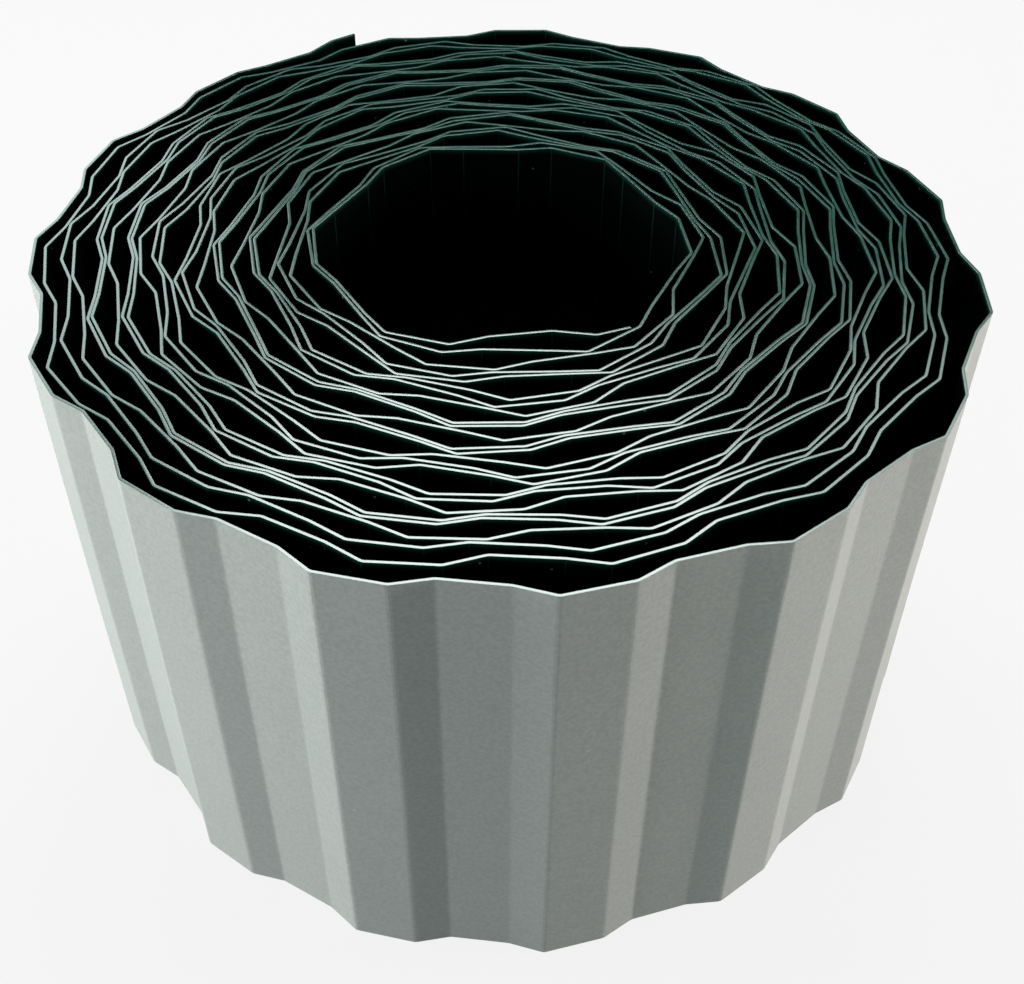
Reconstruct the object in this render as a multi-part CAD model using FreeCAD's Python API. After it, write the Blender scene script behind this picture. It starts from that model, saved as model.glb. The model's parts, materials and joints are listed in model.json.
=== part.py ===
import FreeCAD
import Part
import math
import os

# Plastic lawn edging as it is sold: one strip of thin corrugated plastic, wound into a loose roll.
# The roll stands on the strip's lower edge. Sizes are in millimetres, +Z is up, and the origin is
# on the ground under the middle of the roll. The side that a buyer sees first faces -Y.

# The strip
strip_height = 100.0
strip_length = 9000.0     # along the waves' middle line
thickness = 0.5

# One wave of the strip, along its middle line
crest_flat = 11.6
trough_flat = 11.2
flank_run = 6.4           # length of a slope, measured along the strip
wave_depth = 2.6          # from the middle of a trough to the middle of a crest, where the strip lies free
wound_depth = 2.1         # the same where the winding presses the waves flatter
free_waves = 16.0         # waves from the outer end that have their whole depth
firm_waves = 24.0         # waves from the outer end from which on they are pressed flatter
flat_lean = 0.9           # how far a flat leans over its length: crests outwards, troughs inwards

# The winding
bore_radius = 33.74       # middle line of the first turn
turn_gap = 0.03           # air between two turns whose waves nest
loose_ease = 0.10         # further air on the side where the turns lie looser
loose_bearing = 20.0      # middle of that side, in degrees from the front towards +X
fold_settle = 0.3         # most that a turn sinks from one fold to the next
felt_ahead = 21.0         # strip ahead whose contact already lifts the fold before it
inner_end = 40.4          # bearing of the strip's inner end, in degrees

# How far the outer turns stand off the turns inside them: waves from the outer end, and the slack
outer_slack = ((0, 5.1), (0.6, 3.4), (1, 1.5), (3, 1.1), (4.8, 0.0), (5.4, 0.7), (6.4, 2.0), (7.5, 2.0),
               (9, 3.0), (10.4, 2.4), (11.3, 0.0), (12.9, 0.0), (13.6, 1.7), (14.4, 2.2), (15.1, 0.4),
               (16.2, 0.0), (18, 0.0), (20.5, 1.5), (24, 1.5), (26, 0.0))

# How far the inner end hangs into the bore: waves from the inner end, and the sag
inner_sag = ((0, 0.0), (0.5, 4.0), (1.1, 1.0), (1.6, 0.0))

wave_pitch = crest_flat + trough_flat + 2 * flank_run
waves = round(strip_length / wave_pitch)
last_fold = 4 * waves + 1
slope = math.atan(wave_depth / flank_run)
turn_spacing = thickness / math.cos(slope) + turn_gap
full_turn = 2 * math.pi


def fold_list():
    """Each fold as its run from the fold before, and its height on the wave; both ends cut a crest."""
    wave = ((crest_flat, 1, 1), (flank_run, -1, 1), (trough_flat, -1, -1), (flank_run, 1, -1))
    folds = [(0.0, wound_depth / 2)]
    for k in range(1, last_fold + 1):
        run, rise, lean = wave[(k - 1) % 4]
        free = (firm_waves - (last_fold - k) / 4) / (firm_waves - free_waves)
        depth = wound_depth + (wave_depth - wound_depth) * min(1, max(0, free))
        folds.append((run, (rise * depth + lean * flat_lean) / 2))
    folds[1] = (crest_flat / 2, folds[1][1])
    folds[-1] = (crest_flat / 2, wave_depth / 2)
    return folds


def between(stated, along):
    """The value at this place, between the two stated ones around it; none beyond the last."""
    for (near, low), (far, high) in zip(stated, stated[1:]):
        if near <= along < far:
            return low + (high - low) * (along - near) / (far - near)
    return 0.0


def slack(k):
    return between(outer_slack, (last_fold - k) / 4)


def sag(k):
    return between(inner_sag, k / 4)


def facet_radius(first, last, angle):
    """Radius at which the ray at this angle crosses the straight facet between two polar points."""
    (a1, r1), (a2, r2) = first, last
    return r1 * r2 * math.sin(a2 - a1) / (r1 * math.sin(angle - a1) + r2 * math.sin(a2 - angle))


def set_out(last, base, folds, k):
    """The next folds as polar points, if the strip went on at this base radius."""
    ahead = [last]
    angle = last[0]
    felt = 0.0
    while k < len(folds) and felt < felt_ahead:
        run, height = folds[k]
        angle += run / (base + slack(k) - sag(k) + (height + folds[k - 1][1]) / 2)
        ahead.append((angle, base + height))
        felt += run
        k += 1
    return ahead


def lift_needed(ahead, below):
    """How much the folds ahead have to rise, or may sink, to lie on the turn inside them."""
    lift = -fold_settle
    for n in range(len(ahead) - 1):
        p, q = ahead[n], ahead[n + 1]
        facing = (1 + math.cos(math.radians(inner_end - loose_bearing) - q[0])) / 2
        gap = turn_spacing + loose_ease * facing
        fold_ease = fold_settle * n
        facet_ease = fold_settle * max(n - 1, 0)
        for m, point in enumerate(below):
            if p[0] < point[0] <= q[0]:
                lift = max(lift, point[1] + gap - facet_radius(p, q, point[0]) - facet_ease)
            if m and below[m - 1][0] <= q[0] < point[0]:
                lift = max(lift, facet_radius(below[m - 1], point, q[0]) + gap - q[1] - fold_ease)
    return lift


def wind():
    """Middle line of the strip, wound from the bore outwards, as polar points."""
    folds = fold_list()
    base = bore_radius
    points = [(0.0, bore_radius + folds[0][1])]
    resting = list(points)    # the same line without the sag, for the next turn to lie on
    under = 0
    for k in range(1, len(folds)):
        ahead = set_out(points[-1], base, folds, k)
        if ahead[-1][0] > full_turn:
            while under + 2 < len(points) and points[under + 1][0] <= ahead[0][0] - full_turn:
                under += 1
            below = [(a + full_turn, r) for a, r in resting[under:under + 20]]
            base += lift_needed(ahead, below)
        radius = base + folds[k][1] + slack(k)
        points.append((ahead[1][0], radius - sag(k)))
        resting.append((ahead[1][0], radius))
    return points


def place(point):
    """A polar point on the ground: bearings start at the front and run anticlockwise from above."""
    bearing = math.radians(inner_end) - point[0]
    return FreeCAD.Vector(point[1] * math.sin(bearing), -point[1] * math.cos(bearing), 0)


def side(line, offset):
    """The line moved sideways, with each fold mitred."""
    ways = [(b - a).normalize() for a, b in zip(line, line[1:])]
    moved = []
    for k, point in enumerate(line):
        before = ways[max(k - 1, 0)]
        after = ways[min(k, len(ways) - 1)]
        across = FreeCAD.Vector(-before.y - after.y, before.x + after.x, 0)
        reach = 2 * offset / across.dot(across)
        moved.append(point + across * reach)
    return moved


def edging_strip():
    line = [place(point) for point in wind()]
    outline = side(line, thickness / 2) + side(line, -thickness / 2)[::-1]
    ring = Part.makePolygon(outline + outline[:1])
    strip = Part.Face(ring).extrude(FreeCAD.Vector(0, 0, strip_height))
    box = strip.BoundBox
    strip.translate(FreeCAD.Vector(-box.Center.x, -box.Center.y, 0))
    return strip


strip = edging_strip()
print("waves", waves, "length", waves * wave_pitch, "volume", round(strip.Volume / 1000, 1), "cm3")
print("box", [round(v, 2) for v in (strip.BoundBox.XMin, strip.BoundBox.XMax, strip.BoundBox.YMin,
                                    strip.BoundBox.YMax, strip.BoundBox.ZMax)])
os.makedirs("parts", exist_ok=True)
strip.exportStep("parts/edging_strip.step")
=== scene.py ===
import json
import math

import bpy
import numpy as np
from mathutils import Matrix, Vector

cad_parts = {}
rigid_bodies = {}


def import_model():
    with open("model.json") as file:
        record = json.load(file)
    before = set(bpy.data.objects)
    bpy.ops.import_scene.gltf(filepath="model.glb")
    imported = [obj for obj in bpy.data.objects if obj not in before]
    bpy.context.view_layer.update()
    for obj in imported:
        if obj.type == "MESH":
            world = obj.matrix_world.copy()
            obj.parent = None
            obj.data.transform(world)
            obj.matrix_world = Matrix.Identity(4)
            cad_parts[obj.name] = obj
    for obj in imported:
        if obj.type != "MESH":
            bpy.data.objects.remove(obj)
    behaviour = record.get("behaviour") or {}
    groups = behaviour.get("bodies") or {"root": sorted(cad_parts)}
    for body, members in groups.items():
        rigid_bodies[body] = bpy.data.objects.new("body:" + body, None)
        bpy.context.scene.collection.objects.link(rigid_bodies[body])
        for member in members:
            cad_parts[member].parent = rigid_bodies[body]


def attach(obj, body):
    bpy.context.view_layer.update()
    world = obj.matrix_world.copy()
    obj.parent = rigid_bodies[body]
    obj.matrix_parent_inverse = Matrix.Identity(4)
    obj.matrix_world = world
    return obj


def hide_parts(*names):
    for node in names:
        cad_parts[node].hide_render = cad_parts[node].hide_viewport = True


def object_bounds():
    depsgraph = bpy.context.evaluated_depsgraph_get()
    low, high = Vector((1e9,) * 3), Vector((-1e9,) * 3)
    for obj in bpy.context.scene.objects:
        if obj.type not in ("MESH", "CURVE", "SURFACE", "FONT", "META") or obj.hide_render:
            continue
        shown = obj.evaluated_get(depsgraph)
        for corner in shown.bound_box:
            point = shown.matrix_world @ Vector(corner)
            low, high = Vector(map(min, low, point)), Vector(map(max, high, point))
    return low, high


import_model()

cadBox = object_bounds()
scene = bpy.context.scene
scene.view_settings.view_transform = "Standard"
print("frame loaded")


# The strip: one wall of thin plastic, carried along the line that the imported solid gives

strip = {
    "node": "edging_strip",
    "foldReach": 0.0004,      # a fold starts to bend this far before its corner
    "edgeDome": 0.000012,     # rise of the cut edges' middle over their sides
    "edgeTurns": (0, 20, 40, 65, 90, 115, 140, 160, 180),   # degrees round that low arch
    "wallRows": 4,            # rows up the wall between the two cut edges
    "exposedWaves": 15.3,     # waves from the outer end that face the open air
    "coveredWaves": 16.4,     # from here on the next turn covers the wall
    "creep": 0.00022,         # the wall's slow wander from the flat
    "creepLength": 0.09,      # strip from one swing of that wander to the next
    "seed": 7,
    "ground": 0.00001,        # whatever of the solid is lower stands on the ground
    "widestEnd": 0.001,       # only the strip's two ends have an edge shorter than this
}


def ringOfCorners(node, ground):
    # Faces that stand on the ground have one directed edge there. Each corner leads to the next, and
    # a leap that doubles (next, next but one, ...) writes the whole ring in a few whole-array steps.
    mesh = node.data
    mesh.calc_loop_triangles()
    triangles = np.empty(len(mesh.loop_triangles) * 3, np.int32)
    mesh.loop_triangles.foreach_get("vertices", triangles)
    triangles = triangles.reshape(-1, 3)
    places = np.empty(len(mesh.vertices) * 3, np.float32)
    mesh.vertices.foreach_get("co", places)
    places = places.reshape(-1, 3).astype(float)
    low = places[:, 2] < ground
    toMicrometre = np.round(places[:, :2], 6)
    spots, spotOf = np.unique(toMicrometre, axis=0, return_inverse=True)
    spotOf = spotOf.ravel()
    follow = np.zeros(len(spots), int)
    for turn in range(3):
        a, b, c = np.roll(triangles, turn, axis=1).T
        standing = low[a] & low[b] & ~low[c]
        follow[spotOf[a[standing]]] = spotOf[b[standing]]
    ring = np.array([0])
    leap = follow
    while len(ring) < len(spots):
        ring = np.concatenate([ring, leap[ring]])
        leap = leap[leap]
    return spots[ring[:len(spots)]], places[:, 2].max()


def foldLine(node, piece):
    # The ring's two short edges are the strip's ends. Its two long sides, one of them turned round,
    # pair up fold by fold, and halfway between them lies the wall's middle line, inner end first.
    ring, height = ringOfCorners(node, piece["ground"])
    lengths = np.hypot(*(np.roll(ring, -1, axis=0) - ring).T)
    first, second = np.flatnonzero(lengths < piece["widestEnd"])
    ring = np.roll(ring, -(first + 1), axis=0)
    count = second - first
    folds = (ring[:count] + ring[count:][::-1]) / 2
    if np.hypot(*folds[0]) > np.hypot(*folds[-1]):
        folds = folds[::-1]
    return folds, height, lengths[first]


def bentPath(folds, reach):
    # Each corner P between the unit ways d and e becomes the curve P - reach*d ... P + reach*e with
    # P as its control point: three columns, of which the middle one is a quarter, a half, a quarter.
    ways = np.diff(folds, axis=0)
    ways /= np.hypot(*ways.T)[:, None]
    before, after = ways[:-1], ways[1:]
    corner = folds[1:-1]
    start = corner - reach * before
    end = corner + reach * after
    middle = (start + 2 * corner + end) / 4
    heading = before + after
    heading /= np.hypot(*heading.T)[:, None]
    columns = np.stack([start, middle, end], axis=1).reshape(-1, 2)
    headings = np.stack([before, heading, after], axis=1).reshape(-1, 2)
    creased = np.tile([0.0, 1.0, 0.0], len(corner))
    columns = np.concatenate([folds[:1], columns, folds[-1:]])
    headings = np.concatenate([ways[:1], headings, ways[-1:]])
    creased = np.concatenate([[0.0], creased, [0.0]])
    return columns, headings, creased


def wallProfile(height, thickness, piece):
    # The closed outline of the wall's section: up the outward side, over the top edge, down the
    # inward side and back under the lower edge. Each cut edge is half an ellipse, as wide as the
    # wall and as high as the dome.
    dome = piece["edgeDome"]
    turn = np.radians(piece["edgeTurns"])
    rows = np.linspace(dome, height - dome, piece["wallRows"] + 2)[1:-1]
    across = thickness / 2 * np.cos(turn)
    up = height - dome + dome * np.sin(turn)
    cut = np.ones(len(turn))
    cut[[0, -1]] = 0
    flat = np.full(len(rows), thickness / 2)
    across = np.concatenate([flat, across, -flat, -across])
    up = np.concatenate([rows, up, rows[::-1], height - up])
    cut = np.concatenate([0 * rows, cut, 0 * rows, cut])
    return across, up, cut


def smoothNoise(along, grain, rng):
    # Random values a grain apart, joined by cosine steps.
    spot = along / grain
    values = rng.uniform(-1, 1, int(spot.max()) + 3)
    base = np.floor(spot).astype(int)
    step = (1 - np.cos(math.pi * (spot - base))) / 2
    return values[base] * (1 - step) + values[base + 1] * step


def wallFaces(columnCount, rowsAround):
    # Four-cornered faces between neighbouring columns, then one face over each end of the strip
    i = np.arange(columnCount - 1)[:, None] * rowsAround
    j = np.arange(rowsAround)[None, :]
    k = (j + 1) % rowsAround
    quads = np.stack([i + j, i + k, i + rowsAround + k, i + rowsAround + j], axis=-1).reshape(-1, 4)
    lastColumn = (columnCount - 1) * rowsAround
    ends = [np.arange(rowsAround)[::-1], lastColumn + np.arange(rowsAround)]
    corners = np.concatenate([quads.ravel(), *ends])
    sizes = np.concatenate([np.full(len(quads), 4), [rowsAround, rowsAround]])
    return corners, sizes


def meshFrom(name, places, corners, sizes):
    mesh = bpy.data.meshes.new(name)
    mesh.vertices.add(len(places))
    mesh.vertices.foreach_set("co", places.ravel())
    mesh.loops.add(len(corners))
    mesh.loops.foreach_set("vertex_index", corners.astype(np.int32))
    mesh.polygons.add(len(sizes))
    starts = np.concatenate([[0], np.cumsum(sizes)[:-1]])
    mesh.polygons.foreach_set("loop_start", starts.astype(np.int32))
    mesh.update(calc_edges=True)
    return mesh


def windStrip(piece):
    rng = np.random.default_rng(piece["seed"])
    folds, height, thickness = foldLine(bpy.data.objects[piece["node"]], piece)
    columns, headings, creased = bentPath(folds, piece["foldReach"])
    steps = np.hypot(*np.diff(columns, axis=0).T)
    along = np.concatenate([[0.0], np.cumsum(steps)])
    outward = np.stack([-headings[:, 1], headings[:, 0]], axis=1)
    across, up, cut = wallProfile(height, thickness, piece)
    rowsAround = len(up)
    # Point (i, j) = column i + outward i * across j, at height j, moved by a slow wander
    swing = smoothNoise(along, piece["creepLength"], rng)
    wander = piece["creep"] * swing[:, None] * np.sin(math.pi * up / height)[None, :]
    offset = across[None, :] + wander
    grid = np.empty((len(columns), rowsAround, 3))
    grid[:, :, :2] = columns[:, None, :] + outward[:, None, :] * offset[:, :, None]
    grid[:, :, 2] = up[None, :]
    corners, sizes = wallFaces(len(columns), rowsAround)
    mesh = meshFrom("windingMesh", grid.reshape(-1, 3), corners, sizes)
    # The map runs along the strip and up it, both in metres
    spread = np.empty((len(columns), rowsAround, 2))
    spread[:, :, 0] = along[:, None]
    spread[:, :, 1] = up[None, :]
    mapping = mesh.uv_layers.new(name="stripMap")
    mapping.uv.foreach_set("vector", spread.reshape(-1, 2)[corners].ravel())
    # 1 where the wall faces the open air, falling to 0 where the next turn covers it and painted shade
    # takes over
    wave = 4 * along[-1] / (len(folds) - 1)
    wavesLeft = (along[-1] - along) / wave
    change = piece["coveredWaves"] - piece["exposedWaves"]
    exposed = np.clip((piece["coveredWaves"] - wavesLeft) / change, 0, 1)
    for name, values in (("exposed", exposed), ("fold", creased)):
        layer = mesh.attributes.new(name, "FLOAT", "POINT")
        layer.data.foreach_set("value", np.repeat(values, rowsAround).astype(np.float32))
    # Which finish each face takes: 0 open, 1 inner with painted shade, 2 cut; the two end faces were cut
    # too
    onCut = np.maximum(cut, np.roll(cut, -1)) > 0
    onOutside = (across > 0) & (np.roll(across, -1) > 0)
    openAir = np.maximum(exposed[:-1], exposed[1:]) > 0
    finish = np.where(onCut[None, :], 2, np.where(openAir[:, None] & onOutside[None, :], 0, 1))
    mesh.polygons.foreach_set("material_index", np.append(finish.ravel(), [2, 2]).astype(np.int32))
    mesh.shade_flat()
    body = bpy.data.objects.new("woundStrip", mesh)
    scene.collection.objects.link(body)
    print("strip wound:", len(columns), "columns,", int((sizes - 2).sum()), "triangles,",
          round(float(along[-1]), 3), "m")
    return body


# The plastic: satin grey-green with painted sheen where the strip faces the open air, painted shade of
# dark green inside the roll, and glossy where it was cut

plastic = {
    # the open faces' two tones: the plastic's green made paler by painted sheen, the white surround's
    # reflection; they differ at random
    "openGreenWithSheen": (0.300, 0.352, 0.333, 1.0),
    "openDarkerWithSheen": (0.225, 0.272, 0.256, 1.0),
    "openRoughness": 0.42,
    "driftScale": 28.0,       # slow change of tone, per metre
    "grainScale": 1400.0,     # fine mottle, per metre
    "grainShare": 0.5,        # the mottle's part in the tone; the slow change has the rest
    "grainLow": 0.38,         # where in its noise the mottle is darkest, and where it is palest
    "grainHigh": 0.62,
    "pitDepth": 0.00006,
    "pitStrength": 0.25,
    "openSpecks": (48.0, 0.00035, 0.6),       # dust: cells per metre, largest radius and cover
    # painted shade: the inner faces are painted near black, standing for the shade between the roll's
    # turns
    "innerPaintedShade": (0.0004, 0.0018, 0.0013, 1.0),
    "innerRoughness": 0.5,
    "innerSpecular": 0.01,
    "innerSpecks": (80.0, 0.00025, 0.3),
    "dustPale": (0.42, 0.44, 0.41, 1.0),
    "lineScale": (6.0, 900.0, 1.0),           # drawn lines, per metre along the strip and up it
    "lineDepth": 0.0002,
    "lineStrength": 0.08,
    "lineRoughness": 0.12,    # by how much the roughness changes from line to line
    "edgePaintedLight": (0.004, 0.034, 0.024, 1.0),   # painted light on the walls just below the cut, where light comes through
    "paintedLightDepth": 0.0014,
    "foldPaintedHighlight": (0.006, 0.030, 0.022, 1.0),  # painted highlight: the folds' ridges catch a little light and look paler
    "foldPower": 4.0,         # how narrow that ridge is
    "cutGreen": (0.004, 0.038, 0.027, 1.0),
    "cutPale": (0.013, 0.060, 0.044, 1.0),
    "cutRoughness": 0.19,
    "cutSpecular": 0.8,
    "tornScale": 260.0,       # where the knife tore the plastic, per metre
    "tornRoughness": 0.10,
}


def feed(tree, socket, value):
    if isinstance(value, bpy.types.NodeSocket):
        tree.links.new(value, socket)
    else:
        socket.default_value = value


def node(tree, kind, **inputs):
    made = tree.nodes.new(kind)
    for name, value in inputs.items():
        feed(tree, made.inputs[name.replace("_", " ")], value)
    return made


def blend(tree, factor, a, b):
    made = tree.nodes.new("ShaderNodeMix")
    made.data_type = "RGBA"
    feed(tree, made.inputs[0], factor)
    feed(tree, made.inputs[6], a)
    feed(tree, made.inputs[7], b)
    return made.outputs[2]


def calc(tree, operation, *values):
    made = tree.nodes.new("ShaderNodeMath")
    made.operation = operation
    for socket, value in zip(made.inputs, values):
        feed(tree, socket, value)
    return made.outputs[0]


def around(tree, pattern, middle, swing):
    # A pattern of 0 to 1 becomes middle - swing / 2 to middle + swing / 2
    return calc(tree, "ADD", calc(tree, "MULTIPLY", pattern, swing), middle - swing / 2)


def noise(tree, place, scale, detail):
    return node(tree, "ShaderNodeTexNoise", Vector=place, Scale=scale, Detail=detail).outputs["Fac"]


def mark(tree, name):
    made = tree.nodes.new("ShaderNodeAttribute")
    made.attribute_name = name
    return made.outputs["Fac"]


def freshMaterial(name):
    material = bpy.data.materials.new(name)
    material.use_nodes = True
    material.node_tree.nodes.clear()
    return material, material.node_tree


def finishWith(tree, shader):
    out = tree.nodes.new("ShaderNodeOutputMaterial")
    tree.links.new(shader.outputs[0], out.inputs["Surface"])


def stripMap(tree):
    made = tree.nodes.new("ShaderNodeUVMap")
    made.uv_map = "stripMap"
    return made.outputs["UV"]


def drawnLines(tree, look):
    # Faint lines that the die drew along the strip
    drawn = node(tree, "ShaderNodeMapping", Vector=stripMap(tree), Scale=look["lineScale"])
    return noise(tree, drawn.outputs["Vector"], 1.0, 2.0)


def specks(tree, setting):
    # Dust: about every second cell of the pattern holds one dot
    perMetre, radius, cover = setting
    cells = tree.nodes.new("ShaderNodeTexVoronoi")
    cells.voronoi_dimensions = "2D"
    feed(tree, cells.inputs["Vector"], stripMap(tree))
    feed(tree, cells.inputs["Scale"], perMetre)
    pick = node(tree, "ShaderNodeSeparateColor", Color=cells.outputs["Color"])
    size = calc(tree, "MULTIPLY", pick.outputs["Green"], radius * perMetre)
    dot = calc(tree, "LESS_THAN", cells.outputs["Distance"], size)
    chosen = calc(tree, "MULTIPLY", dot, calc(tree, "GREATER_THAN", pick.outputs["Red"], 0.5))
    return calc(tree, "MULTIPLY", chosen, cover)


def nearCut(tree, depth):
    # Mask of the painted light: 1 at either cut edge, fading out down the wall
    up = node(tree, "ShaderNodeSeparateXYZ", Vector=stripMap(tree)).outputs["Y"]
    away = calc(tree, "MINIMUM", up, calc(tree, "SUBTRACT", cadBox[1][2], up))
    fade = node(tree, "ShaderNodeMapRange", Value=away, From_Min=0.0, From_Max=depth,
                To_Min=1.0, To_Max=0.0)
    return calc(tree, "POWER", fade.outputs["Result"], 2.0)


def openPlastic(look):
    material, tree = freshMaterial("openPlastic")
    place = node(tree, "ShaderNodeTexCoord").outputs["Object"]
    lines = drawnLines(tree, look)
    # Slow change of tone over a few centimetres, and a fine mottle
    drift = noise(tree, place, look["driftScale"], 2.0)
    mottle = noise(tree, place, look["grainScale"], 4.0)
    grain = node(tree, "ShaderNodeMapRange", Value=mottle, From_Min=look["grainLow"],
                 From_Max=look["grainHigh"]).outputs["Result"]
    tone = calc(tree, "ADD", calc(tree, "MULTIPLY", drift, 1 - look["grainShare"]),
                calc(tree, "MULTIPLY", grain, look["grainShare"]))
    # the pale tones stand partly for painted sheen
    green = blend(tree, tone, look["openDarkerWithSheen"], look["openGreenWithSheen"])
    dusty = blend(tree, specks(tree, look["openSpecks"]), green, look["dustPale"])
    # Painted shade: where the next turn covers the wall, the colour fades to the inner faces' dark
    coloured = blend(tree, mark(tree, "exposed"), look["innerPaintedShade"], dusty)
    rough = around(tree, lines, look["openRoughness"], look["lineRoughness"])
    pitted = node(tree, "ShaderNodeBump", Strength=look["pitStrength"], Distance=look["pitDepth"],
                  Height=mottle)
    ripple = node(tree, "ShaderNodeBump", Strength=look["lineStrength"], Distance=look["lineDepth"],
                  Height=lines, Normal=pitted.outputs["Normal"])
    finishWith(tree, node(tree, "ShaderNodeBsdfPrincipled", Base_Color=coloured, Roughness=rough,
                          Normal=ripple.outputs["Normal"]))
    return material


def shadedInnerPlastic(look):
    # The inner faces: the same plastic painted dark as shade, with painted light below the cut and a
    # painted highlight on the folds
    material, tree = freshMaterial("shadedInnerPlastic")
    rough = around(tree, drawnLines(tree, look), look["innerRoughness"], look["lineRoughness"])
    # painted highlight along the folds' ridges
    ridge = calc(tree, "POWER", mark(tree, "fold"), look["foldPower"])
    highlitFolds = blend(tree, ridge, look["innerPaintedShade"], look["foldPaintedHighlight"])
    # painted light just below the cut edges
    dark = blend(tree, nearCut(tree, look["paintedLightDepth"]), highlitFolds, look["edgePaintedLight"])
    dusty = blend(tree, specks(tree, look["innerSpecks"]), dark, look["dustPale"])
    finishWith(tree, node(tree, "ShaderNodeBsdfPrincipled", Base_Color=dusty, Roughness=rough,
                          Specular_IOR_Level=look["innerSpecular"]))
    return material


def cutPlastic(look):
    material, tree = freshMaterial("cutPlastic")
    place = node(tree, "ShaderNodeTexCoord").outputs["Object"]
    # The knife left some stretches paler and rougher than others
    torn = noise(tree, place, look["tornScale"], 3.0)
    coloured = blend(tree, torn, look["cutGreen"], look["cutPale"])
    rough = around(tree, torn, look["cutRoughness"], look["tornRoughness"])
    finishWith(tree, node(tree, "ShaderNodeBsdfPrincipled", Base_Color=coloured, Roughness=rough,
                          Specular_IOR_Level=look["cutSpecular"]))
    return material


woundStrip = windStrip(strip)
for finish in (openPlastic, shadedInnerPlastic, cutPlastic):
    woundStrip.data.materials.append(finish(plastic))
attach(woundStrip, "root")
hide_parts("edging_strip")
print("plastic on the strip")


# The room: a pale floor, a white surround and soft light

room = {
    "floorSize": 6.0,
    "floorWhite": (0.045, 0.045, 0.045, 1.0),
    "floorGlow": 0.86,
    "fadeStart": 0.5,         # distance from the roll's middle
    "fadeEnd": 1.6,
    "floorMirrored": 0.5,     # share of the glow that the plastic mirrors
    "surround": 0.04,         # light that falls on the roll from all round
    "mirrored": 0.05,         # what the plastic mirrors of the surround
}


def rayKinds(tree):
    # 1 for what the camera sees directly, and 1 for what it sees in a reflection
    path = tree.nodes.new("ShaderNodeLightPath")
    direct = calc(tree, "MAXIMUM", path.outputs["Is Camera Ray"], path.outputs["Is Transmission Ray"])
    return direct, path.outputs["Is Glossy Ray"]


def paleFloor(look):
    half = look["floorSize"] / 2
    corners = [(-half, -half, 0), (half, -half, 0), (half, half, 0), (-half, half, 0)]
    mesh = bpy.data.meshes.new("floorMesh")
    mesh.from_pydata(corners, [], [(0, 1, 2, 3)])
    floor = bpy.data.objects.new("paleFloor", mesh)
    scene.collection.objects.link(floor)
    material, tree = freshMaterial("floorWhite")
    matt = node(tree, "ShaderNodeBsdfDiffuse", Color=look["floorWhite"])
    direct, mirrored = rayKinds(tree)
    seen = calc(tree, "ADD", direct, calc(tree, "MULTIPLY", mirrored, look["floorMirrored"]))
    # Away from the roll the floor goes over into the white of the surround
    away = tree.nodes.new("ShaderNodeVectorMath")
    away.operation = "LENGTH"
    feed(tree, away.inputs[0], node(tree, "ShaderNodeTexCoord").outputs["Object"])
    white = node(tree, "ShaderNodeMapRange", Value=away.outputs["Value"], From_Min=look["fadeStart"],
                 From_Max=look["fadeEnd"], To_Min=look["floorGlow"], To_Max=1.0)
    glow = node(tree, "ShaderNodeEmission", Strength=calc(tree, "MULTIPLY", seen, white.outputs["Result"]))
    both = tree.nodes.new("ShaderNodeAddShader")
    feed(tree, both.inputs[0], matt.outputs[0])
    feed(tree, both.inputs[1], glow.outputs[0])
    finishWith(tree, both)
    mesh.materials.append(material)


def whiteSurround(look):
    world = bpy.data.worlds.new("whiteSurround")
    world.use_nodes = True
    tree = world.node_tree
    tree.nodes.clear()
    direct, mirrored = rayKinds(tree)
    white = calc(tree, "MULTIPLY", direct, 1.0 - look["surround"])
    reflected = calc(tree, "MULTIPLY", mirrored, look["mirrored"] - look["surround"])
    strength = calc(tree, "ADD", look["surround"], calc(tree, "ADD", white, reflected))
    sky = node(tree, "ShaderNodeBackground", Color=(1.0, 1.0, 1.0, 1.0), Strength=strength)
    out = tree.nodes.new("ShaderNodeOutputWorld")
    tree.links.new(sky.outputs[0], out.inputs["Surface"])
    scene.world = world


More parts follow.
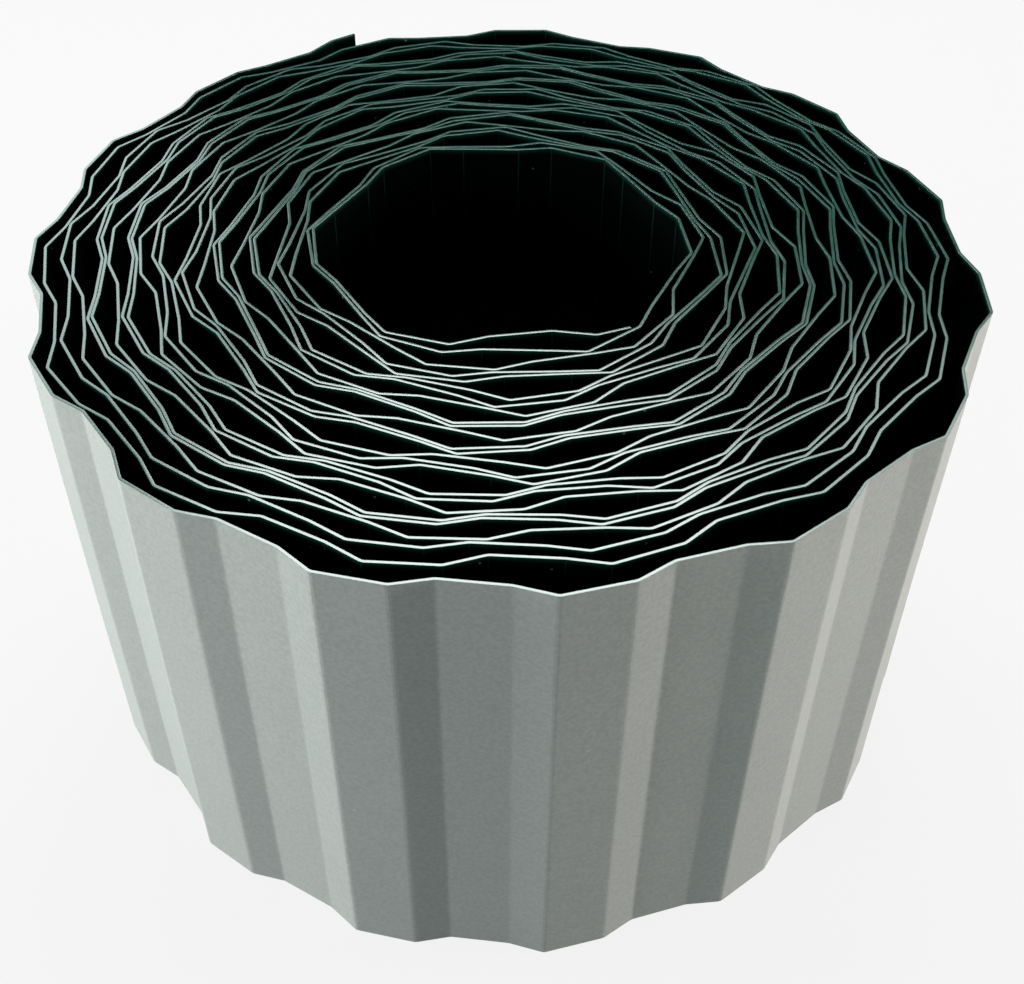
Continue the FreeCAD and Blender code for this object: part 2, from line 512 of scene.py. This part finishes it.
lamps = {
    # name: place, what it points at, size, power and colour
    "leftSoftbox": ((-0.90, 0.05, 0.12), (0, 0, 0.05), 0.3, 11.5, (1.0, 0.95, 0.92)),
    "leftBackSoftbox": ((-0.76, 0.47, 0.12), (0, 0, 0.05), 0.3, 3.5, (1.0, 0.95, 0.94)),
    "rightSoftbox": ((0.90, -0.03, 0.12), (0, 0, 0.05), 0.3, 13.3, (1.0, 0.81, 0.80)),
    "rightBackSoftbox": ((0.78, 0.45, 0.12), (0, 0, 0.05), 0.3, 4.0, (1.0, 0.92, 0.90)),
    "frontLeftSoftbox": ((-0.78, -0.45, 0.20), (0, 0, 0.05), 0.4, 7.2, (1.0, 0.91, 0.94)),
    "frontRightSoftbox": ((0.62, -0.88, 0.25), (0, 0, 0.05), 0.4, 1.9, (0.85, 1.0, 0.93)),
    "overheadSoftbox": ((-0.02, 0.30, 0.59), (0, -0.04, 0.1), 0.40, 4.8, (0.93, 1.0, 0.985)),
    "leftHighSoftbox": ((-0.275, 0.475, 0.42), (0, 0, 0.1), 0.24, 0.65, (0.86, 1.0, 0.97)),
    "rightHighSoftbox": ((0.225, 0.345, 0.50), (0, 0, 0.1), 0.18, 0.40, (0.90, 1.0, 0.98)),
}


def softLamp(name, place, target, size, power, colour):
    light = bpy.data.lights.new(name, "AREA")
    light.shape = "DISK"
    light.size = size
    light.energy = power
    light.color = colour
    lamp = bpy.data.objects.new(name, light)
    lamp.location = place
    lamp.rotation_euler = (Vector(place) - Vector(target)).to_track_quat("Z", "Y").to_euler()
    lamp.visible_camera = False
    scene.collection.objects.link(lamp)


paleFloor(room)
whiteSurround(room)
for name, setting in lamps.items():
    softLamp(name, *setting)
print("room and lamps set")


# The camera: in front of the roll and well above it, as the photograph was taken

lens = {
    "place": (0.0022, -0.2207, 0.2484),
    "pitch": 43.77,           # degrees below the horizon
    "roll": 0.57,             # degrees, the right side of the frame lifted
    "focal": 50.0,
    "sensor": 36.0,
    "nearest": 0.01,
    "farthest": 20.0,
}


def setCamera(view):
    pitch, roll = math.radians(view["pitch"]), math.radians(view["roll"])
    ahead = np.array([0, math.cos(pitch), -math.sin(pitch)])
    right = np.array([1.0, 0, 0])
    up = np.cross(right, ahead)
    rightTurned = math.cos(roll) * right + math.sin(roll) * up
    upTurned = math.cos(roll) * up - math.sin(roll) * right
    turned = Matrix.Identity(3)
    turned.col[0], turned.col[1], turned.col[2] = rightTurned, upTurned, -ahead
    camera = bpy.data.objects.new("camera", bpy.data.cameras.new("camera"))
    camera.data.lens = view["focal"]
    camera.data.sensor_width = view["sensor"]
    camera.data.clip_start = view["nearest"]
    camera.data.clip_end = view["farthest"]
    camera.location = view["place"]
    camera.rotation_euler = turned.to_euler()
    scene.collection.objects.link(camera)
    scene.camera = camera


setCamera(lens)
print("camera set")
